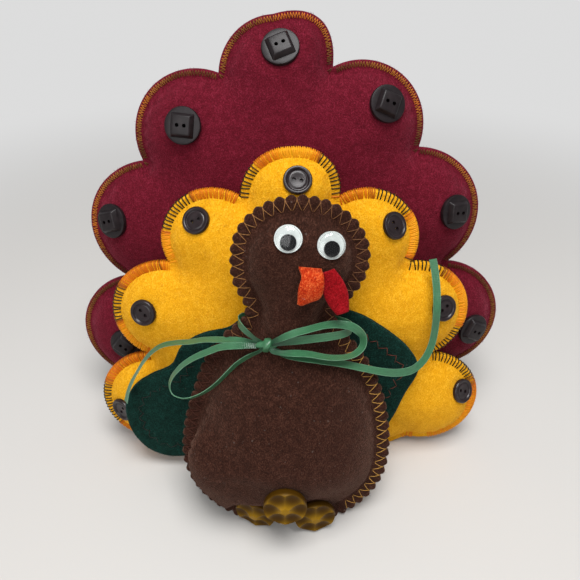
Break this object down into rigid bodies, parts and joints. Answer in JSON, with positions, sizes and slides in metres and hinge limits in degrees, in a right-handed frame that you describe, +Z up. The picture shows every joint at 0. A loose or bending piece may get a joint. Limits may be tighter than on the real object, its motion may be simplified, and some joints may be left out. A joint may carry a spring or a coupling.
{
  "type": "felt turkey figure",
  "caption": "Free-standing turkey decoration of stuffed felt shapes, with lobed tails, button trim, googly eyes, faceted button feet and a tied ribbon.",
  "frame": {"origin": "on the table, under the middle of the bounding box of the figure without its free ribbon ends", "axes": "+Z up, +X to the right of someone who looks at its face, the figure faces -Y"},
  "size_m": [0.2062, 0.1309, 0.1852],
  "materials": {
    "yellow_felt": "brushed wool-like felt",
    "burgundy_felt": "brushed wool-like felt",
    "brown_felt": "brushed wool-like felt",
    "green_felt": "brushed wool-like felt",
    "orange_felt": "brushed wool-like felt",
    "red_felt": "brushed wool-like felt",
    "stuffing": "loose fibre",
    "shirt_button": "polished",
    "square_button": "satin",
    "eye_white": "smooth",
    "eye_black": "matt",
    "eye_dome": "clear, polished",
    "amber": "polished, slightly see-through",
    "ribbon": "satin"
  },
  "bodies": {
    "figure": {"front_tail_front_felt": "yellow_felt", "front_tail_back_felt": "yellow_felt", "front_tail_stuffing": "stuffing", "rear_tail_front_felt": "burgundy_felt", "rear_tail_back_felt": "burgundy_felt", "rear_tail_stuffing": "stuffing", "front_tail_button_1": "shirt_button", "front_tail_button_2": "shirt_button", "front_tail_button_3": "shirt_button", "front_tail_button_4": "shirt_button", "front_tail_button_5": "shirt_button", "front_tail_button_6": "shirt_button", "front_tail_button_7": "shirt_button", "rear_tail_button_1": "square_button", "rear_tail_button_2": "square_button", "rear_tail_button_3": "square_button", "rear_tail_button_4": "square_button", "rear_tail_button_5": "square_button", "rear_tail_button_6": "square_button", "rear_tail_button_7": "square_button", "left_wing_front_felt": "green_felt", "left_wing_back_felt": "green_felt", "right_wing_front_felt": "green_felt", "right_wing_back_felt": "green_felt", "body_front_felt": "brown_felt", "body_back_felt": "brown_felt", "body_stuffing": "stuffing", "left_eye_plate": "eye_white", "left_eye_dome": "eye_dome", "right_eye_plate": "eye_white", "right_eye_dome": "eye_dome", "beak": "orange_felt", "wattle": "red_felt", "left_foot": "amber", "right_foot": "amber", "upper_foot": "amber", "ribbon_neck_band": "ribbon", "ribbon_knot": "ribbon", "ribbon_left_loop": "ribbon", "ribbon_right_loop": "ribbon", "ribbon_left_tail": "ribbon", "ribbon_right_tail": "ribbon"},
    "left_pupil": {"left_eye_pupil": "eye_black"},
    "right_pupil": {"right_eye_pupil": "eye_black"}
  },
  "joints": [
    {"name": "left_pupil_roll", "type": "hinge", "parent": "figure", "child": "left_pupil", "pos_m": [-0.00052, -0.02133, 0.12374], "axis": [-0.058, -0.863, 0.5019], "continuous": true},
    {"name": "right_pupil_roll", "type": "hinge", "parent": "figure", "child": "right_pupil", "pos_m": [0.01444, -0.02145, 0.12114], "axis": [0.1801, -0.8623, 0.4734], "continuous": true}
  ]
}
